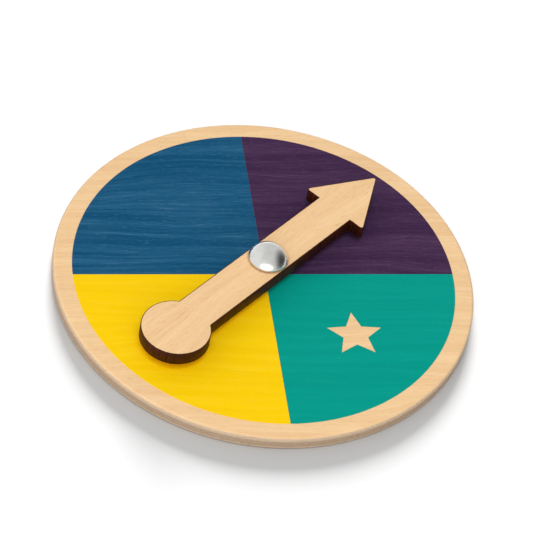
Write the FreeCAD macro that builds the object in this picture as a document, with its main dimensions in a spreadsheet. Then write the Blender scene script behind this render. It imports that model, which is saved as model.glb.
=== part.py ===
import FreeCAD, Part
import math
import os
import Sketcher

# A spinner for a board game. A round plywood disc is printed in four colour quarters inside a bare
# rim. A laser-cut arrow turns on a brass sleeve, held by a dome-headed rivet that is clinched over a
# washer in a counterbore under the disc.
#
# Millimetres. The origin is the centre of the disc's underside, on the pivot's axis, with +Z up.
# The quarters meet along X and Y. Angles are in degrees, anticlockwise from +X seen from above.

SIZES = [
    ("disc_diameter", 110.0, "plywood disc"),
    ("disc_thickness", 4.0, "plywood stock of the disc"),
    ("disc_edge_radius", 0.8, "rounding of the disc's two outer edges"),
    ("rim_width", 5.0, "bare wood outside the print"),
    ("print_thickness", 0.05, "ink film"),
    ("print_gap", 0.05, "bare line between two quarters"),
    ("star_radius", 7.5, "centre of the star to its points"),
    ("star_inner_radius", 3.4, "centre of the star to its inner corners"),
    ("star_distance", 29.4, "pivot axis to the centre of the star"),
    ("spacer_diameter", 8.4, "spacer under the arrow"),
    ("spacer_thickness", 2.0, "plywood stock of the spacer"),
    ("spacer_chamfer", 0.15, "broken edges of the spacer"),
    ("slip_washer_thickness", 0.2, "nylon washer"),
    ("slip_washer_inset", 0.4, "edge of a nylon washer inside the piece it lies against"),
    ("pointer_thickness", 3.8, "plywood stock of the arrow"),
    ("pointer_margin", 5.6, "ends of the arrow inside the edge of the print"),
    ("pointer_angle", 41.4, "direction of the arrow at rest"),
    ("bar_width", 10.9, "bar of the arrow"),
    ("head_width", 20.0, "across the arrowhead's shoulders"),
    ("head_length", 17.8, "arrowhead before its point is rounded"),
    ("head_corner_radius", 0.7, "rounding of the arrowhead's corners"),
    ("tail_diameter", 18.0, "round tail"),
    ("pointer_lift", 0.03, "gap under the arrow"),
    ("pointer_play", 0.1, "gap over the arrow"),
    ("running_clearance", 0.08, "radial gap round the sleeve"),
    ("shank_diameter", 4.0, "rivet shank"),
    ("shank_clearance", 0.05, "radial gap round the shank"),
    ("sleeve_wall", 0.45, "brass sleeve"),
    ("dome_diameter", 10.4, "rivet head"),
    ("dome_height", 3.6, "rivet head"),
    ("dome_rim", 0.35, "upright band at the foot of the rivet head"),
    ("back_washer_diameter", 9.5, "steel washer under the disc"),
    ("back_washer_thickness", 0.5, "steel washer under the disc"),
    ("counterbore_clearance", 0.5, "radial gap round the steel washer"),
    ("clinch_diameter", 6.6, "rolled tail of the rivet"),
    ("clinch_height", 0.8, "rolled tail of the rivet"),
    ("clinch_edge_radius", 0.35, "rounding of the rolled tail"),
    ("clinch_recess", 0.3, "rolled tail inside the underside of the disc"),
    ("tail_bore_diameter", 2.6, "blind hole in the rivet's tail"),
    ("tail_bore_depth", 2.4, "blind hole in the rivet's tail"),
]

# Sizes that several pieces share, worked out from the sheet in one place.
PRINT_RADIUS = "(Sizes.disc_diameter / 2 - Sizes.rim_width)"
SHANK_HOLE = "(Sizes.shank_diameter + 2 * Sizes.shank_clearance)"
SLEEVE_DIAMETER = f"({SHANK_HOLE} + 2 * Sizes.sleeve_wall)"
SLEEVE_HOLE = f"({SLEEVE_DIAMETER} + 2 * Sizes.running_clearance)"
POINTER_REACH = f"({PRINT_RADIUS} - Sizes.pointer_margin)"
SLEEVE_LENGTH = (
    "(2 * Sizes.slip_washer_thickness + Sizes.pointer_lift"
    " + Sizes.pointer_thickness + Sizes.pointer_play)"
)
COUNTERBORE_DEPTH = (
    "(Sizes.back_washer_thickness + Sizes.clinch_height + Sizes.clinch_recess)"
)

# Heights of the stack, from the disc's underside up.
SPACER_BASE = "(Sizes.disc_thickness + Sizes.print_thickness)"
SLEEVE_BASE = f"({SPACER_BASE} + Sizes.spacer_thickness)"
POINTER_BASE = f"({SLEEVE_BASE} + Sizes.slip_washer_thickness + Sizes.pointer_lift)"
HEAD_BASE = f"({SLEEVE_BASE} + {SLEEVE_LENGTH})"
UPPER_WASHER_BASE = f"({HEAD_BASE} - Sizes.slip_washer_thickness)"
CLINCH_FACE = "(Sizes.clinch_recess + Sizes.clinch_height)"

ORIGIN = (-1, 1)
X_AXIS = -1
Y_AXIS = -2
START = 1
END = 2
CENTRE = 3
UP = FreeCAD.Vector(0, 0, 1)
QUARTER_TURNS = {
    "print_purple": 0,
    "print_blue": 90,
    "print_yellow": 180,
    "print_green": 270,
}
STAR_DIRECTION = 45
STAR_TILT = 180
STAR_POINTS = 5
TOLERANCE = 1e-6

doc = FreeCAD.newDocument("game_spinner")
sheet = doc.addObject("Spreadsheet::Sheet", "Sizes")


def fill_sheet():
    for row, (alias, value, note) in enumerate(SIZES, start=1):
        sheet.set(f"A{row}", alias)
        sheet.set(f"B{row}", str(value))
        sheet.set(f"C{row}", note)
        sheet.setAlias(f"B{row}", alias)
    doc.recompute()


def size(alias):
    return float(sheet.get(alias))


def new_body(name):
    body = doc.addObject("PartDesign::Body", name)
    body.Label = name
    return body


def new_sketch(body, name, role="XY_Plane"):
    sketch = body.newObject("Sketcher::SketchObject", name)
    plane = next(f for f in body.Origin.OriginFeatures if f.Role == role)
    sketch.AttachmentSupport = (plane, [""])
    sketch.MapMode = "FlatFace"
    return sketch


def constrain(sketch, kind, *where):
    return sketch.addConstraint(Sketcher.Constraint(kind, *where))


def dimension(sketch, kind, *where, rule):
    """Adds a driving dimension whose value follows an expression on the sheet."""
    index = constrain(sketch, kind, *where)
    sketch.setExpression(f"Constraints[{index}]", rule)


def measured(rule):
    """The present value of an expression on the sheet."""
    return float(sheet.evalExpression(rule))


def add_circle(sketch, diameter_rule):
    radius = measured(diameter_rule) / 2
    circle = sketch.addGeometry(Part.Circle(FreeCAD.Vector(), UP, radius))
    constrain(sketch, "Coincident", circle, CENTRE, *ORIGIN)
    dimension(sketch, "Diameter", circle, 2 * radius, rule=diameter_rule)


def line(sketch, start, end):
    first = FreeCAD.Vector(*start)
    last = FreeCAD.Vector(*end)
    return sketch.addGeometry(Part.LineSegment(first, last))


def closed_outline(sketch, points):
    """Straight sides through the points, joined end to end. Returns the sides' numbers."""
    sides = [line(sketch, a, b) for a, b in zip(points, points[1:] + points[:1])]
    for side, following in zip(sides, sides[1:] + sides[:1]):
        constrain(sketch, "Coincident", side, END, following, START)
    return sides


def pad(body, sketch, name, length_rule):
    feature = body.newObject("PartDesign::Pad", name)
    feature.Profile = sketch
    feature.setExpression("Length", length_rule)
    doc.recompute()


def pocket(body, sketch, name, depth_rule=None):
    """Cuts upwards from the sketch, through everything or to a depth, and proves that it cut."""
    before = body.Shape.Volume
    feature = body.newObject("PartDesign::Pocket", name)
    feature.Profile = sketch
    feature.Reversed = True
    if depth_rule is None:
        feature.Type = "ThroughAll"
    else:
        feature.Type = "Length"
        feature.setExpression("Length", depth_rule)
    doc.recompute()
    if body.Shape.Volume >= before:
        raise RuntimeError(f"{body.Label}: {name} removed nothing")


def edges_where(shape, test):
    """Names of the edges whose middle point and curve pass the test."""
    names = []
    for number, edge in enumerate(shape.Edges, start=1):
        middle = edge.valueAt((edge.FirstParameter + edge.LastParameter) / 2)
        if test(edge, middle):
            names.append(f"Edge{number}")
    return names


def is_rim(edge, radius):
    return isinstance(edge.Curve, Part.Circle) and abs(edge.Curve.Radius - radius) < TOLERANCE


def dress(body, kind, name, edges, size_name, rule):
    """Fillets or chamfers the named edges of the body's last feature."""
    dressed = body.Tip
    feature = body.newObject(f"PartDesign::{kind}", name)
    feature.Base = (dressed, edges)
    feature.setExpression(size_name, rule)
    doc.recompute()


def lift(body, height_rule):
    body.setExpression("Placement.Base.z", height_rule)


def ring(name, outer_rule, inner_rule, length_rule, height_rule):
    """A flat or tubular ring about the pivot's axis."""
    body = new_body(name)
    sketch = new_sketch(body, f"{name}_section")
    add_circle(sketch, outer_rule)
    add_circle(sketch, inner_rule)
    pad(body, sketch, f"{name}_pad", length_rule)
    lift(body, height_rule)
    return body


def base_disc():
    """Plywood disc with the rivet's hole and the counterbore for its clinched tail."""
    body = new_body("base_disc")
    outline = new_sketch(body, "disc_outline")
    add_circle(outline, "Sizes.disc_diameter")
    pad(body, outline, "disc_board", "Sizes.disc_thickness")

    hole = new_sketch(body, "disc_hole")
    add_circle(hole, SHANK_HOLE)
    pocket(body, hole, "disc_bore")

    seat = new_sketch(body, "counterbore_outline")
    add_circle(seat, "Sizes.back_washer_diameter + 2 * Sizes.counterbore_clearance")
    pocket(body, seat, "counterbore", COUNTERBORE_DEPTH)

    radius = size("disc_diameter") / 2
    rims = edges_where(body.Shape, lambda edge, middle: is_rim(edge, radius))
    dress(body, "Fillet", "disc_rounding", rims, "Radius", "Sizes.disc_edge_radius")
    return body


def quarter(name):
    """One printed quarter: a film between the rivet's hole and the bare rim."""
    body = new_body(name)
    sketch = new_sketch(body, f"{name}_outline")
    margin_rule = "Sizes.print_gap / 2"
    margin = measured(margin_rule)
    inner_rule = f"{SHANK_HOLE} / 2"
    arcs = []
    for radius_rule in (inner_rule, PRINT_RADIUS):
        radius = measured(radius_rule)
        low = math.asin(margin / radius)
        circle = Part.Circle(FreeCAD.Vector(), UP, radius)
        arc = sketch.addGeometry(Part.ArcOfCircle(circle, low, math.pi / 2 - low))
        constrain(sketch, "Coincident", arc, CENTRE, *ORIGIN)
        dimension(sketch, "Radius", arc, radius, rule=radius_rule)
        arcs.append(arc)
    inner, outer = arcs
    corner = {
        (arc, end): tuple(sketch.getPoint(arc, end)) for arc in arcs for end in (START, END)
    }
    along_x = line(sketch, corner[inner, START], corner[outer, START])
    along_y = line(sketch, corner[inner, END], corner[outer, END])
    for side, end, direction, distance in (
        (along_x, START, "Horizontal", "DistanceY"),
        (along_y, END, "Vertical", "DistanceX"),
    ):
        constrain(sketch, "Coincident", side, START, inner, end)
        constrain(sketch, "Coincident", side, END, outer, end)
        constrain(sketch, direction, side)
        dimension(sketch, distance, *ORIGIN, side, START, margin, rule=margin_rule)
    pad(body, sketch, f"{name}_film", "Sizes.print_thickness")
    turn = FreeCAD.Rotation(UP, QUARTER_TURNS[name])
    body.Placement = FreeCAD.Placement(FreeCAD.Vector(), turn)
    lift(body, "Sizes.disc_thickness")
    return body


def cut_star(body):
    """Leaves a five-pointed star of bare wood in the middle of a quarter."""
    sketch = new_sketch(body, "star_outline")
    across = f"Sizes.star_distance * cos({STAR_DIRECTION} deg)"
    along = f"Sizes.star_distance * sin({STAR_DIRECTION} deg)"
    sketch.AttachmentOffset = FreeCAD.Placement(
        FreeCAD.Vector(), FreeCAD.Rotation(UP, STAR_TILT)
    )
    sketch.setExpression("AttachmentOffset.Base.x", across)
    sketch.setExpression("AttachmentOffset.Base.y", along)

    reach = {"Sizes.star_radius": [], "Sizes.star_inner_radius": []}
    points = []
    for corner in range(2 * STAR_POINTS):
        rule = "Sizes.star_inner_radius" if corner % 2 else "Sizes.star_radius"
        angle = math.pi * corner / STAR_POINTS
        radius = measured(rule)
        points.append((radius * math.cos(angle), radius * math.sin(angle), 0))
        reach[rule].append(corner)
    sides = closed_outline(sketch, points)
    for rule, corners in reach.items():
        circle = sketch.addGeometry(Part.Circle(FreeCAD.Vector(), UP, measured(rule)), True)
        constrain(sketch, "Coincident", circle, CENTRE, *ORIGIN)
        dimension(sketch, "Radius", circle, measured(rule), rule=rule)
        for corner in corners:
            constrain(sketch, "PointOnObject", sides[corner], START, circle)
    for side in sides[1:]:
        constrain(sketch, "Equal", sides[0], side)
    constrain(sketch, "PointOnObject", sides[0], START, X_AXIS)
    pocket(body, sketch, "star_cut")


def spacer_washer():
    """Plywood washer that holds the arrow clear of the disc."""
    body = ring(
        "spacer_washer", "Sizes.spacer_diameter", SHANK_HOLE, "Sizes.spacer_thickness", SPACER_BASE
    )
    radius = size("spacer_diameter") / 2
    rims = edges_where(body.Shape, lambda edge, middle: is_rim(edge, radius))
    dress(body, "Chamfer", "spacer_edges", rims, "Size", "Sizes.spacer_chamfer")
    return body


def pointer():
    """Arrow with a straight bar and a round tail, bored for the sleeve. Drawn along +X."""
    body = new_body("pointer")
    sketch = new_sketch(body, "pointer_outline")
    tip = measured(POINTER_REACH)
    shoulder = tip - size("head_length")
    half_head = size("head_width") / 2
    half_bar = size("bar_width") / 2
    tail_radius = size("tail_diameter") / 2
    tail_x = tail_radius - tip
    opening = math.asin(half_bar / tail_radius)
    neck_x = tail_x + tail_radius * math.cos(opening)

    point, upper, lower = (tip, 0, 0), (shoulder, half_head, 0), (shoulder, -half_head, 0)
    upper_bar, lower_bar = (shoulder, half_bar, 0), (shoulder, -half_bar, 0)
    upper_neck, lower_neck = (neck_x, half_bar, 0), (neck_x, -half_bar, 0)
    upper_flank = line(sketch, point, upper)
    upper_step = line(sketch, upper, upper_bar)
    upper_side = line(sketch, upper_bar, upper_neck)
    circle = Part.Circle(FreeCAD.Vector(tail_x, 0, 0), UP, tail_radius)
    tail = sketch.addGeometry(Part.ArcOfCircle(circle, opening, 2 * math.pi - opening))
    lower_side = line(sketch, lower_neck, lower_bar)
    lower_step = line(sketch, lower_bar, lower)
    lower_flank = line(sketch, lower, point)
    loop = [upper_flank, upper_step, upper_side, tail, lower_side, lower_step, lower_flank]
    for side, following in zip(loop, loop[1:] + loop[:1]):
        constrain(sketch, "Coincident", side, END, following, START)

    constrain(sketch, "Horizontal", upper_side)
    constrain(sketch, "Horizontal", lower_side)
    constrain(sketch, "Vertical", upper_step)
    constrain(sketch, "PointOnObject", upper_flank, START, X_AXIS)
    constrain(sketch, "PointOnObject", tail, CENTRE, X_AXIS)
    constrain(sketch, "Symmetric", upper_flank, END, lower_flank, START, X_AXIS)
    constrain(sketch, "Symmetric", upper_step, END, lower_step, START, X_AXIS)
    dimension(sketch, "DistanceX", *ORIGIN, upper_flank, START, tip, rule=POINTER_REACH)
    dimension(
        sketch, "DistanceX", upper_flank, END, upper_flank, START, tip - shoulder,
        rule="Sizes.head_length",
    )
    dimension(
        sketch, "DistanceY", lower_flank, START, upper_flank, END, 2 * half_head,
        rule="Sizes.head_width",
    )
    dimension(
        sketch, "DistanceY", lower_side, END, upper_side, START, 2 * half_bar,
        rule="Sizes.bar_width",
    )
    dimension(sketch, "Radius", tail, tail_radius, rule="Sizes.tail_diameter / 2")
    dimension(
        sketch, "DistanceX", tail, CENTRE, *ORIGIN, -tail_x,
        rule=f"{POINTER_REACH} - Sizes.tail_diameter / 2",
    )
    pad(body, sketch, "pointer_board", "Sizes.pointer_thickness")

    corners = (point, upper, lower)

    def at_corner(edge, middle):
        return any(math.hypot(middle.x - x, middle.y - y) < TOLERANCE for x, y, _ in corners)

    rounded = edges_where(body.Shape, at_corner)
    dress(body, "Fillet", "pointer_corners", rounded, "Radius", "Sizes.head_corner_radius")
    hole = new_sketch(body, "pointer_hole")
    add_circle(hole, SLEEVE_HOLE)
    pocket(body, hole, "pointer_bore")
    body.Placement = FreeCAD.Placement(FreeCAD.Vector(), FreeCAD.Rotation(UP, size("pointer_angle")))
    body.setExpression("Placement.Rotation.Angle", "Sizes.pointer_angle * 1 deg")
    lift(body, POINTER_BASE)
    return body


def pivot_rivet():
    """Dome head, shank and rolled tail, turned in one piece with a blind hole in the tail."""
    body = new_body("pivot_rivet")
    sketch = new_sketch(body, "rivet_profile", "XZ_Plane")
    bore_radius = "Sizes.tail_bore_diameter / 2"
    clinch_radius = "Sizes.clinch_diameter / 2"
    shank_radius = "Sizes.shank_diameter / 2"
    dome_radius = "Sizes.dome_diameter / 2"
    foot = "Sizes.clinch_recess"
    bore_top = "Sizes.clinch_recess + Sizes.tail_bore_depth"
    rim_top = f"{HEAD_BASE} + Sizes.dome_rim"
    crown_top = f"{HEAD_BASE} + Sizes.dome_height"
    corners = [
        ("0", crown_top),
        ("0", bore_top),
        (bore_radius, bore_top),
        (bore_radius, foot),
        (clinch_radius, foot),
        (clinch_radius, CLINCH_FACE),
        (shank_radius, CLINCH_FACE),
        (shank_radius, HEAD_BASE),
        (dome_radius, HEAD_BASE),
        (dome_radius, rim_top),
    ]
    points = [(measured(x_rule), measured(z_rule), 0) for x_rule, z_rule in corners]
    sides = [line(sketch, a, b) for a, b in zip(points, points[1:])]

    half_width = measured(dome_radius)
    rise = measured(crown_top) - measured(rim_top)
    crown_radius = (half_width**2 + rise**2) / (2 * rise)
    centre_z = measured(crown_top) - crown_radius
    low = math.atan2(measured(rim_top) - centre_z, half_width)
    circle = Part.Circle(FreeCAD.Vector(0, centre_z, 0), UP, crown_radius)
    crown = sketch.addGeometry(Part.ArcOfCircle(circle, low, math.pi / 2))

    loop = sides + [crown]
    for side, following in zip(loop, loop[1:] + loop[:1]):
        constrain(sketch, "Coincident", side, END, following, START)
    constrain(sketch, "PointOnObject", crown, CENTRE, Y_AXIS)
    constrain(sketch, "PointOnObject", sides[0], START, Y_AXIS)
    upright, level = sides[0::2], sides[1::2]
    for side in upright:
        constrain(sketch, "Vertical", side)
    for side in level:
        constrain(sketch, "Horizontal", side)
    for side in upright[1:]:
        rule = corners[side][0]
        dimension(sketch, "DistanceX", *ORIGIN, side, START, measured(rule), rule=rule)
    for side in level:
        rule = corners[side][1]
        dimension(sketch, "DistanceY", *ORIGIN, side, START, measured(rule), rule=rule)
    for side, end, rule in ((sides[0], START, crown_top), (sides[-1], END, rim_top)):
        dimension(sketch, "DistanceY", *ORIGIN, side, end, measured(rule), rule=rule)

    turned = body.newObject("PartDesign::Revolution", "rivet_turned")
    turned.Profile = sketch
    turned.ReferenceAxis = (sketch, ["V_Axis"])
    turned.Angle = 360
    doc.recompute()

    rims = (measured(bore_radius), measured(clinch_radius))
    foot_height = measured(foot)

    def on_foot(edge, middle):
        at_foot = abs(middle.z - foot_height) < TOLERANCE
        return at_foot and any(is_rim(edge, rim) for rim in rims)

    rolled = edges_where(body.Shape, on_foot)
    dress(body, "Fillet", "rolled_tail", rolled, "Radius", "Sizes.clinch_edge_radius")
    return body


def build_pieces():
    quarters = {name: quarter(name) for name in QUARTER_TURNS}
    cut_star(quarters["print_green"])
    lower_washer = ring(
        "lower_slip_washer",
        "Sizes.spacer_diameter - 2 * Sizes.slip_washer_inset",
        SLEEVE_HOLE,
        "Sizes.slip_washer_thickness",
        SLEEVE_BASE,
    )
    upper_washer = ring(
        "upper_slip_washer",
        "Sizes.dome_diameter - 2 * Sizes.slip_washer_inset",
        SLEEVE_HOLE,
        "Sizes.slip_washer_thickness",
        UPPER_WASHER_BASE,
    )
    sleeve = ring("pivot_sleeve", SLEEVE_DIAMETER, SHANK_HOLE, SLEEVE_LENGTH, SLEEVE_BASE)
    back_washer = ring(
        "back_washer",
        "Sizes.back_washer_diameter",
        SHANK_HOLE,
        "Sizes.back_washer_thickness",
        CLINCH_FACE,
    )
    return [
        base_disc(),
        *quarters.values(),
        spacer_washer(),
        lower_washer,
        sleeve,
        pointer(),
        upper_washer,
        pivot_rivet(),
        back_washer,
    ]


def check(pieces):
    doc.recompute()
    for item in doc.Objects:
        if "Invalid" in item.State or "Error" in item.State:
            raise RuntimeError(f"{item.Label}: {item.State}")
    for piece in pieces:
        if piece.Shape.isNull() or not piece.Shape.isValid():
            raise RuntimeError(f"{piece.Label} has no valid shape")
        if len(piece.Shape.Solids) != 1:
            raise RuntimeError(f"{piece.Label} is not one solid")


def write(pieces):
    os.makedirs("parts", exist_ok=True)
    for piece in pieces:
        piece.Shape.exportStep(f"parts/{piece.Label}.step")
        box = piece.Shape.optimalBoundingBox()
        print(
            f"{piece.Label}: {piece.Shape.Volume:.2f} mm3, "
            f"z {box.ZMin:.2f} to {box.ZMax:.2f}, "
            f"{box.XLength:.2f} x {box.YLength:.2f}"
        )


fill_sheet()
pieces = build_pieces()
check(pieces)
write(pieces)
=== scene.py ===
import math

import bmesh
import bpy
from mathutils import Color, Matrix, Vector, noise


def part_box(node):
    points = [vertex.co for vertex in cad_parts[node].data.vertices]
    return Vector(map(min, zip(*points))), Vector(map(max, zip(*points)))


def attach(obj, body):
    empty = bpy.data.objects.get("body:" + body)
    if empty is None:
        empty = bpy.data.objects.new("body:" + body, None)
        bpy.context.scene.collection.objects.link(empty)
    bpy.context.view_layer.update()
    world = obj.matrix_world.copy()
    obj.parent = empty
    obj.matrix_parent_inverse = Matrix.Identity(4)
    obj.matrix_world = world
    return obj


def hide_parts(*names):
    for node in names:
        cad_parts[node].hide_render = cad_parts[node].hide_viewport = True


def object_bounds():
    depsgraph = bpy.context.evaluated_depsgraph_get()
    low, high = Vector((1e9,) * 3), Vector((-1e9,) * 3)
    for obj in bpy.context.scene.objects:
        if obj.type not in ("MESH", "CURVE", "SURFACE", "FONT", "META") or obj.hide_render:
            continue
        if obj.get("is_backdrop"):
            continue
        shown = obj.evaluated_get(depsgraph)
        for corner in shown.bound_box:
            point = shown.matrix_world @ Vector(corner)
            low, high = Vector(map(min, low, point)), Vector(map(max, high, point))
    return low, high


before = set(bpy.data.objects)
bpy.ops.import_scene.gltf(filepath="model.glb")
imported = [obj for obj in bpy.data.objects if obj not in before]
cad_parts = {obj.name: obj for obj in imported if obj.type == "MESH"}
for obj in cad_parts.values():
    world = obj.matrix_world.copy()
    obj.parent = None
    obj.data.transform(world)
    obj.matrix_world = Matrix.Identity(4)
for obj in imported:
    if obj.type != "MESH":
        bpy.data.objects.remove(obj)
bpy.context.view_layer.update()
MM = 0.001


# The board. A round of 4 mm plywood: two pale rotary-cut faces over a cross-laid core. It is routed round,
# sanded over both edges, drilled for the rivet, and counterbored from below for the rivet's rolled tail.

# A Mix node has a set of sockets for each kind of value. These are the numbers of its colour ones.
MIX_FACTOR = 0
MIX_FIRST = 6
MIX_SECOND = 7
MIX_RESULT = 2


class Socket:
    """One output of a shader's nodes, which sums and products can be written with."""

    def __init__(self, tree, output=None):
        self.tree = tree
        self.output = output

    def node(self, kind, settings=None, values=None, output=0):
        """Adds a node: its settings first, then a value or a link for each named or numbered socket."""
        made = self.tree.nodes.new(kind)
        for name, value in (settings or {}).items():
            setattr(made, name, value)
        for name, value in (values or {}).items():
            if isinstance(value, Socket):
                self.tree.links.new(value.output, made.inputs[name])
            else:
                made.inputs[name].default_value = value
        return Socket(self.tree, made.outputs[output])

    def math(self, operation, *values):
        return self.node("ShaderNodeMath", {"operation": operation}, dict(enumerate(values)))

    def __add__(self, other):
        return self.math("ADD", self, other)

    def __sub__(self, other):
        return self.math("SUBTRACT", self, other)

    def __rsub__(self, other):
        return self.math("SUBTRACT", other, self)

    def __mul__(self, other):
        return self.math("MULTIPLY", self, other)

    def __pow__(self, other):
        return self.math("POWER", self, other)

    __radd__ = __add__
    __rmul__ = __mul__

    def size(self):
        """How far the value is from 0."""
        return self.math("ABSOLUTE", self)

    def between(self, low, high):
        """0 below low, 1 above high, and a smooth rise from one to the other."""
        settings = {"interpolation_type": "SMOOTHSTEP"}
        values = {"Value": self, "From Min": low, "From Max": high}
        return self.node("ShaderNodeMapRange", settings, values)

    def tint(self, first, second):
        """The first colour where this value is 0, and the second where it is 1."""
        values = {MIX_FACTOR: self, MIX_FIRST: first, MIX_SECOND: second}
        return self.node("ShaderNodeMix", {"data_type": "RGBA"}, values, MIX_RESULT)

    def axis(self, name):
        """One coordinate of a vector."""
        return self.node("ShaderNodeSeparateXYZ", {}, {0: self}, name)

    def squeezed(self, x, y, z):
        """A vector whose coordinates are divided by these."""
        return self.node("ShaderNodeVectorMath", {"operation": "DIVIDE"}, {0: self, 1: (x, y, z)})


def paint(red, green, blue):
    """A colour named by its 0 to 255 screen values, as the linear values that shaders take."""
    screen = Color((red / 255, green / 255, blue / 255))
    return (*screen.from_srgb_to_scene_linear(), 1.0)


def new_finish(name, **steady):
    """A material with one Principled shader. Returns it and a Socket to build its nodes from."""
    finish = bpy.data.materials.new(name)
    finish.use_nodes = True
    shader = finish.node_tree.nodes["Principled BSDF"]
    for socket, value in steady.items():
        shader.inputs[socket.replace("_", " ")].default_value = value
    return finish, Socket(finish.node_tree)


def apply_finish(finish, **varying):
    """Links what changes over the surface to the finish's Principled shader."""
    shader = finish.node_tree.nodes["Principled BSDF"]
    for socket, value in varying.items():
        finish.node_tree.links.new(value.output, shader.inputs[socket.replace("_", " ")])


def bump(height, strength, depth):
    """The normal of a surface that rises with a height, by the depth where the height is 1."""
    values = {"Strength": strength, "Distance": depth, "Height": height}
    return height.node("ShaderNodeBump", {}, values)


def stretched(place, along, across, detail=2.0, roughness=0.5):
    """Noise from 0 to 1 in marks about that long in X and that wide in Y and Z."""
    squeezed = place.squeezed(along, across, across)
    values = {"Vector": squeezed, "Scale": 1.0, "Detail": detail, "Roughness": roughness}
    return place.node("ShaderNodeTexNoise", {}, values)


def veneer_figure(place):
    """The growth bands, the fibres and the pores of a rotary-cut face whose grain runs along X."""
    wander = 9 * MM
    sway = stretched(place, along=46 * MM, across=13 * MM, detail=1.0) * wander
    shift = place.node("ShaderNodeCombineXYZ", {}, {"Y": sway})
    swayed = place.node("ShaderNodeVectorMath", {"operation": "ADD"}, {0: place, 1: shift})
    bands = stretched(swayed, along=90 * MM, across=2.2 * MM, detail=4.0, roughness=0.65)
    fibres = stretched(swayed, along=7 * MM, across=0.28 * MM)
    pores = stretched(swayed, along=1.8 * MM, across=0.13 * MM, detail=0.0)
    return bands, fibres, pores


def board_finish():
    """Sanded birch faces, and a rim where the long grain of the faces sandwiches a darker core, the rim
    painted darker and greyer than the wood alone, partly as shade on the side.
    """
    finish, start = new_finish("sanded_plywood", Specular_IOR_Level=0.2)
    place = start.node("ShaderNodeTexCoord", output="Object")
    normal = start.node("ShaderNodeNewGeometry", output="Normal")
    along = place.axis("X")
    across = place.axis("Y")
    facing = normal.axis("Z")
    side = 1 - facing.size().between(0.5, 0.98)
    bands, fibres, pores = veneer_figure(place)

    face = bands.between(0.32, 0.7).tint(paint(243, 206, 158), paint(234, 193, 143))
    face = (fibres.between(0.45, 0.75) * 0.3).tint(face, paint(218, 172, 122))
    face = (pores.between(0.66, 0.74) * 0.3).tint(face, paint(192, 146, 100))

    # Ink has soaked into the bare line between two quarters.
    from_seam = start.math("MINIMUM", along.size(), across.size())
    from_pivot = (along * along + across * across) ** 0.5
    on_seam = 1 - from_seam.between(0.1 * MM, 0.4 * MM)
    in_print = 1 - from_pivot.between(print_radius - 0.3 * MM, print_radius)
    on_top = facing.between(0.5, 0.9)
    face = (on_seam * in_print * on_top * 0.85).tint(face, paint(88, 58, 52))

    # Round the edge, the faces' long grain lies above and below the core, with a glue line between. These
    # edge colours are darker and greyer than the wood alone would be, partly as painted shade on the
    # board's side.
    speckle = stretched(place, along=0.5 * MM, across=0.22 * MM)
    core = speckle.between(0.35, 0.7).tint(paint(184, 158, 133), paint(154, 128, 104))
    long_edge = fibres.between(0.4, 0.8).tint(paint(204, 179, 151), paint(180, 155, 129))
    ripple = stretched(place, along=5 * MM, across=1.5 * MM) * (0.16 * MM)
    from_middle = (place.axis("Z") + ripple - board_middle).size()
    past_core = from_middle - CORE_PLY / 2
    in_core = 1 - past_core.between(-0.05 * MM, 0.05 * MM)
    glue = 1 - past_core.size().between(0.0, 0.09 * MM)
    edge = (in_core * 0.85).tint(long_edge, core)
    edge = (glue * 0.5).tint(edge, paint(122, 96, 74))
    relief = fibres * 0.5 + pores * 0.3 + speckle * side * 0.8
    apply_finish(
        finish,
        Base_Color=side.tint(face, edge),
        Roughness=0.5 + fibres * 0.14 + side * 0.12,
        Normal=bump(relief, 0.25, 0.06 * MM),
    )
    return finish


def bore_radius(node):
    """How near a CAD node's solid comes to the pivot's axis."""
    return min(vertex.co.xy.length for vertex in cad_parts[node].data.vertices)


def soften(corners, steps=7):
    """An outline whose corners, each (radius, height, rounding), are turned into arcs.

    A point on each flat, just short of its arc, keeps the flat's shading flat.
    """
    points = []
    for index, (x, y, rounding) in enumerate(corners):
        corner = Vector((x, y))
        if rounding == 0:
            points.append(corner)
            continue
        before = Vector(corners[index - 1][:2]) - corner
        after = Vector(corners[(index + 1) % len(corners)][:2]) - corner
        before.normalize()
        after.normalize()
        half = before.angle(after) / 2
        reach = rounding / math.tan(half)
        centre = corner + (before + after).normalized() * rounding / math.sin(half)
        first = corner + before * reach - centre
        last = corner + after * reach - centre
        sweep = math.atan2(first.cross(last), first.dot(last))
        short = reach + 0.2 * rounding
        points.append(corner + before * short)
        for step in range(steps + 1):
            points.append(centre + Matrix.Rotation(sweep * step / steps, 2) @ first)
        points.append(corner + after * short)
    return points


CREASE_ANGLE = math.radians(38)


def finish_mesh(shape, name):
    """Turns a bmesh into a smooth-shaded object, crisp where faces meet at more than the crease angle."""
    bmesh.ops.recalc_face_normals(shape, faces=shape.faces)
    mesh = bpy.data.meshes.new(name)
    shape.to_mesh(mesh)
    shape.free()
    mesh.shade_smooth()
    mesh.set_sharp_from_angle(angle=CREASE_ANGLE)
    piece = bpy.data.objects.new(name, mesh)
    bpy.context.scene.collection.objects.link(piece)
    return piece


ON_AXIS = 1e-9


def turn(name, outline, steps, wobble=None):
    """A solid turned about the pivot's axis from a closed outline of (radius, height) points."""
    shape = bmesh.new()
    rings = []
    for radius, height in outline:
        ring = []
        for step in range(steps if radius > ON_AXIS else 1):
            angle = math.tau * step / steps
            point = Vector((radius * math.cos(angle), radius * math.sin(angle), height))
            if wobble:
                point = wobble(point)
            ring.append(shape.verts.new(point))
        rings.append(ring)
    for ring, following in zip(rings, rings[1:] + rings[:1]):
        for step in range(steps):
            after = (step + 1) % steps
            corners = [ring[step % len(ring)], ring[after % len(ring)]]
            corners += [following[after % len(following)], following[step % len(following)]]
            distinct = list(dict.fromkeys(corners))
            if len(distinct) > 2:
                shape.faces.new(distinct)
    return finish_mesh(shape, name)


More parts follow.
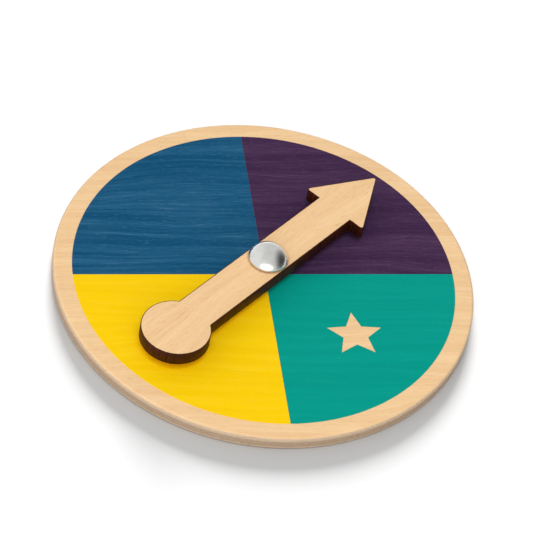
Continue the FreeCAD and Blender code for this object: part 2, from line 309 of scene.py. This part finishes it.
def place_piece(piece, body, node, finish):
    """Gives a new piece its finish and its body, and hides the CAD node it stands for."""
    piece.data.materials.append(finish)
    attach(piece, body)
    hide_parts(node)


board_low, board_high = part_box("base_disc")
board_radius = board_high.x
board_middle = board_high.z / 2
print_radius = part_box("print_purple")[1].x
CORE_PLY = 1.5 * MM
EDGE_ROUNDING = 0.8 * MM
COUNTERBORE_BREAK = 0.1 * MM
COUNTERBORE_CLEARANCE = 0.5 * MM
SANDING_WOBBLE = 0.05 * MM
WOBBLES_PER_METRE = 60
NOISE_START = Vector((3, 7, 11))
rivet_hole = bore_radius("base_disc")
counterbore_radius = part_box("back_washer")[1].x + COUNTERBORE_CLEARANCE
counterbore_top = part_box("back_washer")[1].z


def hand_sanded(point):
    """The edge isn't quite even: sanding takes a little more off in places, and never adds."""
    if point.xy.length < board_radius - 2 * EDGE_ROUNDING:
        return point
    uneven = noise.noise(point * WOBBLES_PER_METRE + NOISE_START)
    taken = SANDING_WOBBLE * (0.5 + 0.5 * uneven)
    return Vector((*(point.xy * (1 - taken / point.xy.length)), point.z))


board_outline = soften(
    [
        (rivet_hole, counterbore_top, 0),
        (rivet_hole, board_high.z, 0),
        (board_radius, board_high.z, EDGE_ROUNDING),
        (board_radius, board_low.z, EDGE_ROUNDING),
        (counterbore_radius, board_low.z, COUNTERBORE_BREAK),
        (counterbore_radius, counterbore_top, 0),
    ]
)
board = turn("board", board_outline, steps=256, wobble=hand_sanded)
place_piece(board, "board", "base_disc", board_finish())


# The print. Four quarters of ink laid straight on the upper face in one pass, a hair apart, with a star
# left bare in the green one. The ink is thin, so the grain shows through in paler and deeper streaks.

def ink_finish(name, ink, thin, deep, show):
    """Ink over veneer: thin where a hard band or a fibre drew less of it, deep where it pooled."""
    finish, start = new_finish(name, Specular_IOR_Level=0.04)
    place = start.node("ShaderNodeTexCoord", output="Object")
    bands, fibres, pores = veneer_figure(place)
    cloud = stretched(place, along=16 * MM, across=9 * MM, detail=3.0)
    between_bands = 1 - bands.between(0.35, 0.65)
    colour = (bands.between(0.38, 0.62) * show).tint(ink, deep)
    colour = (fibres.between(0.48, 0.82) * between_bands * show).tint(colour, thin)
    colour = (pores.between(0.67, 0.75) * show * 0.5).tint(colour, thin)
    colour = (cloud.between(0.45, 0.8) * show * 0.12).tint(colour, thin)
    apply_finish(
        finish,
        Base_Color=colour,
        Roughness=0.55 + fibres * 0.2,
        Normal=bump(fibres * 0.6 + pores * 0.4, 0.22, 0.05 * MM),
    )
    return finish


INKS = {
    "print_blue": (paint(28, 88, 124), paint(72, 118, 148), paint(8, 72, 108), 0.8),
    "print_purple": (paint(70, 46, 77), paint(104, 78, 104), paint(56, 33, 66), 0.75),
    "print_green": (paint(0, 152, 137), paint(34, 164, 146), paint(0, 144, 129), 0.5),
    "print_yellow": (paint(249, 205, 8), paint(252, 214, 64), paint(242, 196, 0), 0.5),
}
for node, (ink, thin, deep, show) in INKS.items():
    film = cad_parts[node]
    film.data.materials.clear()
    film.data.materials.append(ink_finish(f"{node}_ink", ink, thin, deep, show))


# The spacer. A small laser-cut plywood washer on the board, which holds the arrow clear of the print. Its
# cut edge is scorched nearly black. The rivet passes through it, and clamps it down through the sleeve.

def scorched(start, place, burnt):
    """Laser-burnt edge grain, near black with brown streaks. Returns its colour and the streaks."""
    wide = 0.22 * MM
    tall = 5 * MM
    values = {"Vector": place.squeezed(wide, wide, tall), "Scale": 1.0, "Detail": 3.0}
    streaks = start.node("ShaderNodeTexNoise", {}, values)
    patches = stretched(place, along=4 * MM, across=3 * MM)
    char = streaks.between(0.3, 0.72).tint(paint(36, 10, 2), paint(80, 30, 7))
    edge = (patches.between(0.42, 0.7) * 0.5 * burnt).tint(char, paint(18, 6, 2))
    return edge, streaks


def cut_wood_finish(name, grain_turn, pale, dark):
    """Laser-cut plywood: sanded face, grain at an angle to X, painted shade round the pivot, scorched
    edges.
    """
    finish, start = new_finish(name, Specular_IOR_Level=0.15)
    place = start.node("ShaderNodeTexCoord", output="Object")
    along = start.node(
        "ShaderNodeVectorRotate",
        {"rotation_type": "Z_AXIS"},
        {"Vector": place, "Angle": -grain_turn},
    )
    burnt = start.node("ShaderNodeAttribute", {"attribute_name": "scorch"}, output="Fac")
    bands, fibres, pores = veneer_figure(along)
    face = bands.between(0.3, 0.72).tint(pale, dark)
    face = (fibres.between(0.45, 0.78) * 0.3).tint(face, paint(214, 168, 118))
    face = (pores.between(0.67, 0.75) * 0.3).tint(face, paint(190, 142, 96))

    # A painted shade darkens the face in a ring round the rivet's head, with an uneven edge.
    x = place.axis("X")
    y = place.axis("Y")
    uneven = stretched(place, along=1.5 * MM, across=1.5 * MM) * (0.5 * MM)
    past_head = (x * x + y * y) ** 0.5 + uneven - head_radius
    painted_shade_ring = 1 - past_head.between(0.2 * MM, 0.8 * MM)
    face = (painted_shade_ring * 0.45).tint(face, paint(150, 118, 84))

    edge, streaks = scorched(start, place, burnt)
    ragged = stretched(place, along=0.6 * MM, across=0.6 * MM) * 0.5
    burn = (burnt + ragged - 0.25).between(0.2, 0.8)
    apply_finish(
        finish,
        Base_Color=burn.tint(face, edge),
        Roughness=0.5 + fibres * 0.12 - burn * 0.06,
        Normal=bump(fibres * 0.5 + pores * 0.3 + streaks * burnt, 0.25, 0.06 * MM),
    )
    return finish


def mark(piece, name, value_at):
    """Stores a number at each vertex of a piece, for its finish to read."""
    values = piece.data.attributes.new(name, "FLOAT", "POINT")
    for vertex, item in zip(piece.data.vertices, values.data):
        item.value = value_at(vertex.co)


head_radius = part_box("pivot_rivet")[1].x
spacer_low, spacer_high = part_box("spacer_washer")
spacer_radius = spacer_high.x
SPACER_BREAK = 0.15 * MM
SPACER_SINGE = 0.4 * MM
SPACER_GRAIN_TURN = 0.6
spacer_outline = soften(
    [
        (bore_radius("spacer_washer"), spacer_low.z, 0),
        (bore_radius("spacer_washer"), spacer_high.z, 0),
        (spacer_radius, spacer_high.z, SPACER_BREAK),
        (spacer_radius, spacer_low.z, SPACER_BREAK),
    ]
)
spacer = turn("spacer", spacer_outline, steps=96)
mark(spacer, "scorch", lambda point: float(point.xy.length > spacer_radius - SPACER_SINGE))
spacer_finish = cut_wood_finish(
    "scorched_spacer", SPACER_GRAIN_TURN, pale=paint(240, 200, 150), dark=paint(226, 180, 130)
)
place_piece(spacer, "board", "spacer_washer", spacer_finish)


# The slip washers. Thin punched nylon rings under and over the arrow, milky and a little waxy. They lie
# loose on the sleeve, so that the arrow turns against plastic and not against wood or metal.

def nylon_finish():
    """Milky plastic that light enters a little, with a faint haze."""
    finish, start = new_finish("natural_nylon", Subsurface_Weight=0.25, Subsurface_Scale=0.4 * MM)
    place = start.node("ShaderNodeTexCoord", output="Object")
    haze = stretched(place, along=1.2 * MM, across=1.2 * MM, detail=3.0)
    colour = haze.between(0.3, 0.7).tint(paint(238, 236, 226), paint(226, 222, 208))
    apply_finish(finish, Base_Color=colour, Roughness=0.34 + haze * 0.16)
    return finish


SLIP_WASHERS = {"lower_slip_washer": "slip_washer_lower", "upper_slip_washer": "slip_washer_upper"}
SLIP_WASHER_EDGE = 0.06 * MM
nylon = nylon_finish()
for node, piece_name in SLIP_WASHERS.items():
    low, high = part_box(node)
    ring_outline = soften(
        [
            (bore_radius(node), low.z, 0),
            (bore_radius(node), high.z, 0),
            (high.x, high.z, SLIP_WASHER_EDGE),
            (high.x, low.z, SLIP_WASHER_EDGE),
        ],
        steps=3,
    )
    slip_washer = turn(piece_name, ring_outline, steps=96)
    place_piece(slip_washer, "board", node, nylon)


# The sleeve. A short length of drawn brass tube on the rivet, between the spacer and the rivet's head. It
# takes the load when the rivet is closed, so that the arrow stays free. Only the gaps show it.

def metal_finish(name, bright, worn, rough, scratch):
    """Polished metal: fine scratches, and a faint cloudiness where it has been handled."""
    finish, start = new_finish(name, Metallic=1.0)
    place = start.node("ShaderNodeTexCoord", output="Object")
    cloud = stretched(place, along=2.5 * MM, across=2.5 * MM, detail=3.0)
    fine = stretched(place, along=2.2 * MM, across=0.07 * MM, detail=1.0)
    apply_finish(
        finish,
        Base_Color=cloud.between(0.35, 0.75).tint(bright, worn),
        Roughness=rough + cloud * 0.06 + fine.between(0.6, 0.8) * scratch,
        Normal=bump(fine, 0.05, 0.004 * MM),
    )
    return finish


sleeve_low, sleeve_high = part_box("pivot_sleeve")
TUBE_EDGE = 0.08 * MM
sleeve_outline = soften(
    [
        (bore_radius("pivot_sleeve"), sleeve_low.z, TUBE_EDGE),
        (bore_radius("pivot_sleeve"), sleeve_high.z, TUBE_EDGE),
        (sleeve_high.x, sleeve_high.z, TUBE_EDGE),
        (sleeve_high.x, sleeve_low.z, TUBE_EDGE),
    ],
    steps=3,
)
brass = metal_finish(
    "drawn_brass", bright=paint(220, 180, 100), worn=paint(196, 152, 78), rough=0.22, scratch=0.12
)
sleeve = turn("sleeve", sleeve_outline, steps=96)
place_piece(sleeve, "board", "pivot_sleeve", brass)


# The arrow. Laser-cut from 4 mm plywood with its grain along the bar. The cut edges are burnt dark brown
# and lean in a little towards the top, as a laser's cut does, and a thin singed line borders the face.

SAME_POINT = 0.002 * MM


def top_outlines(node):
    """The loops round a CAD node's flat top, longest last, each of points with the wood on its left."""
    solid = bmesh.new()
    solid.from_mesh(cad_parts[node].data)
    bmesh.ops.remove_doubles(solid, verts=solid.verts, dist=SAME_POINT)
    top = max(vertex.co.z for vertex in solid.verts)
    sides = set()
    for face in solid.faces:
        if all(abs(vertex.co.z - top) < SAME_POINT for vertex in face.verts):
            for loop in face.loops:
                sides.add((loop.vert.index, loop.link_loop_next.vert.index))
    border = {a: b for a, b in sides if (b, a) not in sides}
    solid.verts.ensure_lookup_table()
    outlines = []
    while border:
        first = min(border)
        walk = [first]
        while border[walk[-1]] != first:
            walk.append(border.pop(walk[-1]))
        border.pop(walk[-1])
        outlines.append([solid.verts[index].co.xy for index in walk])
    solid.free()
    return sorted(outlines, key=len)


SHARPEST_CORNER = 0.4


def inset(outline, distance):
    """An outline moved into the wood by a distance, corners kept, with a limit at sharp ones."""
    moved = []
    for index, point in enumerate(outline):
        before = (point - outline[index - 1]).normalized()
        after = (outline[(index + 1) % len(outline)] - point).normalized()
        inward = Vector((-before.y - after.y, before.x + after.x)).normalized()
        corner = max(SHARPEST_CORNER, inward.dot((-before.y, before.x)))
        moved.append(point + inward * distance / corner)
    return moved


def cut_from_sheet(name, outlines, levels):
    """A flat piece from its outlines and its edge's levels, each (inset, height), bottom to top."""
    shape = bmesh.new()
    caps = [[], []]
    for outline in outlines:
        rings = []
        for distance, height in levels:
            rings.append([shape.verts.new((*point, height)) for point in inset(outline, distance)])
        for ring, above in zip(rings, rings[1:]):
            for step in range(len(ring)):
                after = (step + 1) % len(ring)
                shape.faces.new((ring[step], ring[after], above[after], above[step]))
        for cap, ring in zip(caps, (rings[0], rings[-1])):
            cap += [shape.edges.get((a, b)) for a, b in zip(ring, ring[1:] + ring[:1])]
    for cap in caps:
        bmesh.ops.triangle_fill(shape, edges=cap, use_beauty=True)
    return finish_mesh(shape, name)


def in_microns(point):
    """A point's place to a whole micron, so that the same place is found again."""
    return tuple(round(value / MM, 3) for value in point)


arrow_low, arrow_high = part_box("pointer")
arrow_outlines = top_outlines("pointer")
outer = arrow_outlines[-1]
bar_side = max((b - a for a, b in zip(outer, outer[1:])), key=lambda side: side.length)
bar_turn = math.atan2(bar_side.y, bar_side.x)
CUT_LEAN = 0.03 * MM
CUT_BREAK = 0.06 * MM
CUT_BEND = 0.3 * CUT_BREAK
ARROW_SINGE = 0.3 * MM
arrow_levels = [
    (CUT_BREAK + ARROW_SINGE, arrow_low.z),
    (CUT_BREAK, arrow_low.z),
    (CUT_BEND, arrow_low.z + CUT_BEND),
    (0.0, arrow_low.z + CUT_BREAK),
    (CUT_LEAN, arrow_high.z - CUT_BREAK),
    (CUT_LEAN + CUT_BEND, arrow_high.z - CUT_BEND),
    (CUT_LEAN + CUT_BREAK, arrow_high.z),
    (CUT_LEAN + CUT_BREAK + ARROW_SINGE, arrow_high.z),
]
arrow = cut_from_sheet("arrow", arrow_outlines, arrow_levels)
edge_points = {
    in_microns((*point, height))
    for outline in arrow_outlines
    for distance, height in arrow_levels[1:-1]
    for point in inset(outline, distance)
}
mark(arrow, "scorch", lambda point: float(in_microns(point) in edge_points))
arrow_finish = cut_wood_finish(
    "laser_cut_arrow", bar_turn, pale=paint(242, 204, 156), dark=paint(234, 193, 143)
)
place_piece(arrow, "arrow", "pointer", arrow_finish)


# The rivet. Nickel-plated steel with a smooth dome head, its shank through the sleeve, spacer and board,
# and a hollow tail rolled over the back washer. It holds the whole stack together.

rivet_low, rivet_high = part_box("pivot_rivet")
head_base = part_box("upper_slip_washer")[1].z
tail_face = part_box("back_washer")[0].z
SHANK_CLEARANCE = 0.05 * MM
DOME_RIM = 0.35 * MM
DOME_FOOT_ROUNDING = 0.12 * MM
DOME_STEPS = 28
TAIL_RADIUS = 3.3 * MM
TAIL_BORE_RADIUS = 1.3 * MM
TAIL_BORE_DEPTH = 2.4 * MM
TAIL_ROUNDING = 0.35 * MM
shank_radius = rivet_hole - SHANK_CLEARANCE
rise = rivet_high.z - head_base - DOME_RIM
crown_radius = (head_radius**2 + rise**2) / (2 * rise)
crown_centre = rivet_high.z - crown_radius
foot_angle = math.asin((head_base + DOME_RIM - crown_centre) / crown_radius)
crown = []
for step in range(DOME_STEPS + 1):
    angle = foot_angle + (math.pi / 2 - foot_angle) * step / DOME_STEPS
    crown.append((crown_radius * math.cos(angle), crown_centre + crown_radius * math.sin(angle), 0))
crown[-1] = (0, rivet_high.z, 0)
rivet_outline = soften(
    [
        (head_radius, head_base, DOME_FOOT_ROUNDING),
        *crown,
        (0, rivet_low.z + TAIL_BORE_DEPTH, 0),
        (TAIL_BORE_RADIUS, rivet_low.z + TAIL_BORE_DEPTH, 0),
        (TAIL_BORE_RADIUS, rivet_low.z, TAIL_ROUNDING),
        (TAIL_RADIUS, rivet_low.z, TAIL_ROUNDING),
        (TAIL_RADIUS, tail_face, 0),
        (shank_radius, tail_face, 0),
        (shank_radius, head_base, 0),
    ]
)
nickel = metal_finish(
    "bright_nickel", bright=paint(230, 230, 227), worn=paint(220, 220, 217), rough=0.19, scratch=0.04
)
rivet = turn("rivet", rivet_outline, steps=128)
place_piece(rivet, "board", "pivot_rivet", nickel)


# The back washer. A zinc-plated steel washer in the counterbore, which spreads the load of the rolled
# tail over the wood. It is punched, so one edge is rounder than the other.

back_low, back_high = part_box("back_washer")
ROUND_EDGE = 0.12 * MM
CRISP_EDGE = 0.036 * MM
back_outline = soften(
    [
        (bore_radius("back_washer"), back_low.z, 0),
        (bore_radius("back_washer"), back_high.z, 0),
        (back_high.x, back_high.z, CRISP_EDGE),
        (back_high.x, back_low.z, ROUND_EDGE),
    ],
    steps=4,
)
zinc = metal_finish(
    "zinc_plate", bright=paint(190, 192, 194), worn=paint(160, 162, 166), rough=0.3, scratch=0.15
)
back_washer = turn("washer_back", back_outline, steps=96)
place_piece(back_washer, "board", "back_washer", zinc)


# The studio. A pale table that runs out of sight, and white walls that fall dark to the right, which the
# dome mirrors. Soft lamps stand in front and overhead, and a low one behind lights the table alone.

TABLE_GREY = (0.5, 0.5, 0.5, 1)
TABLE_HALF = 4.0
table_finish, _ = new_finish(
    "pale_table", Base_Color=TABLE_GREY, Roughness=0.9, Specular_IOR_Level=0.1
)
table_mesh = bpy.data.meshes.new("table")
table_corners = [(x * TABLE_HALF, y * TABLE_HALF, 0) for x, y in ((-1, -1), (1, -1), (1, 1), (-1, 1))]
table_mesh.from_pydata(table_corners, [], [(0, 1, 2, 3)])
table = bpy.data.objects.new("table", table_mesh)
table.data.materials.append(table_finish)
bpy.context.scene.collection.objects.link(table)
table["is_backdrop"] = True


def add_lamp(name, kind, azimuth, elevation, distance, energy):
    """A lamp facing the object, at an azimuth in degrees from +X towards +Y."""
    turned = math.radians(azimuth)
    raised = math.radians(elevation)
    sideways = math.cos(raised)
    aim = Vector((math.cos(turned) * sideways, math.sin(turned) * sideways, math.sin(raised)))
    lamp = bpy.data.objects.new(name, bpy.data.lights.new(name, kind))
    lamp.data.energy = energy
    lamp.location = aim * distance
    lamp.rotation_mode = "QUATERNION"
    lamp.rotation_quaternion = aim.to_track_quat("Z", "Y")
    bpy.context.scene.collection.objects.link(lamp)
    return lamp


front_lamp = add_lamp("front_lamp", "AREA", azimuth=256, elevation=25, distance=1.4, energy=4.7)
front_lamp.data.shape = "ELLIPSE"
front_lamp.data.size = 1.7
front_lamp.data.size_y = 0.8
top_lamp = add_lamp("top_lamp", "AREA", azimuth=262, elevation=72, distance=1.3, energy=5.4)
top_lamp.data.shape = "DISK"
top_lamp.data.size = 0.8
top_lamp.visible_glossy = False  # nothing on the object mirrors it
table_lamp = add_lamp("table_lamp", "SUN", azimuth=81, elevation=19.5, distance=1.0, energy=10.2)
table_lamp.data.angle = math.radians(24)
table_only = bpy.data.collections.new("table_only")
table_only.objects.link(table)
table_lamp.light_linking.receiver_collection = table_only

TO_RIGHT = (0.97, -0.08, 0.2)
WALL_BRIGHTNESS = 0.9
WHITE = (1, 1, 1, 1)
walls = bpy.data.worlds.new("studio_walls")
walls.use_nodes = True
bpy.context.scene.world = walls
background = walls.node_tree.nodes["Background"]
studio = Socket(walls.node_tree)
direction = studio.node("ShaderNodeTexCoord", output="Generated")
to_right = studio.node(
    "ShaderNodeVectorMath", {"operation": "DOT_PRODUCT"}, {0: direction, 1: TO_RIGHT}, "Value"
)
dimmer = to_right.between(-0.8, 0.4) * 0.2
dark_wall = to_right.between(0.55, 0.98) * 0.92
brightness = (WALL_BRIGHTNESS - dimmer) * (1 - dark_wall)
lit = studio.node("ShaderNodeCombineXYZ", {}, {"X": brightness, "Y": brightness, "Z": brightness})
seen = studio.node("ShaderNodeLightPath", output="Is Camera Ray")
walls.node_tree.links.new(seen.tint(lit, WHITE).output, background.inputs["Color"])

# The camera looks down at the middle of the object, turned so that the print's line along X is level.

VIEW_AZIMUTH = math.radians(-16.1)
VIEW_ELEVATION = math.radians(46.5)
VIEW_DISTANCE = 0.782
FRAME_SHARE = 0.8
SENSOR_WIDTH = 36
low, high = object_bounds()
middle = (low + high) / 2
camera = bpy.data.cameras.new("camera")
camera.sensor_width = SENSOR_WIDTH
camera.lens = SENSOR_WIDTH * FRAME_SHARE * VIEW_DISTANCE / (high.x - low.x)
camera_object = bpy.data.objects.new("camera", camera)
towards_camera = Vector(
    (
        math.sin(VIEW_AZIMUTH) * math.cos(VIEW_ELEVATION),
        -math.cos(VIEW_AZIMUTH) * math.cos(VIEW_ELEVATION),
        math.sin(VIEW_ELEVATION),
    )
)
upright = (-towards_camera).to_track_quat("-Z", "Y")
across = upright @ Vector((1, 0, 0))
above = upright @ Vector((0, 1, 0))
print_line = Vector((1, 0, 0))
level = math.atan2(print_line.dot(above), print_line.dot(across))
camera_object.location = middle + towards_camera * VIEW_DISTANCE
camera_object.rotation_mode = "QUATERNION"
camera_object.rotation_quaternion = upright @ Matrix.Rotation(level, 3, "Z").to_quaternion()
bpy.context.scene.collection.objects.link(camera_object)
bpy.context.scene.camera = camera_object
bpy.context.scene.view_settings.view_transform = "Standard"
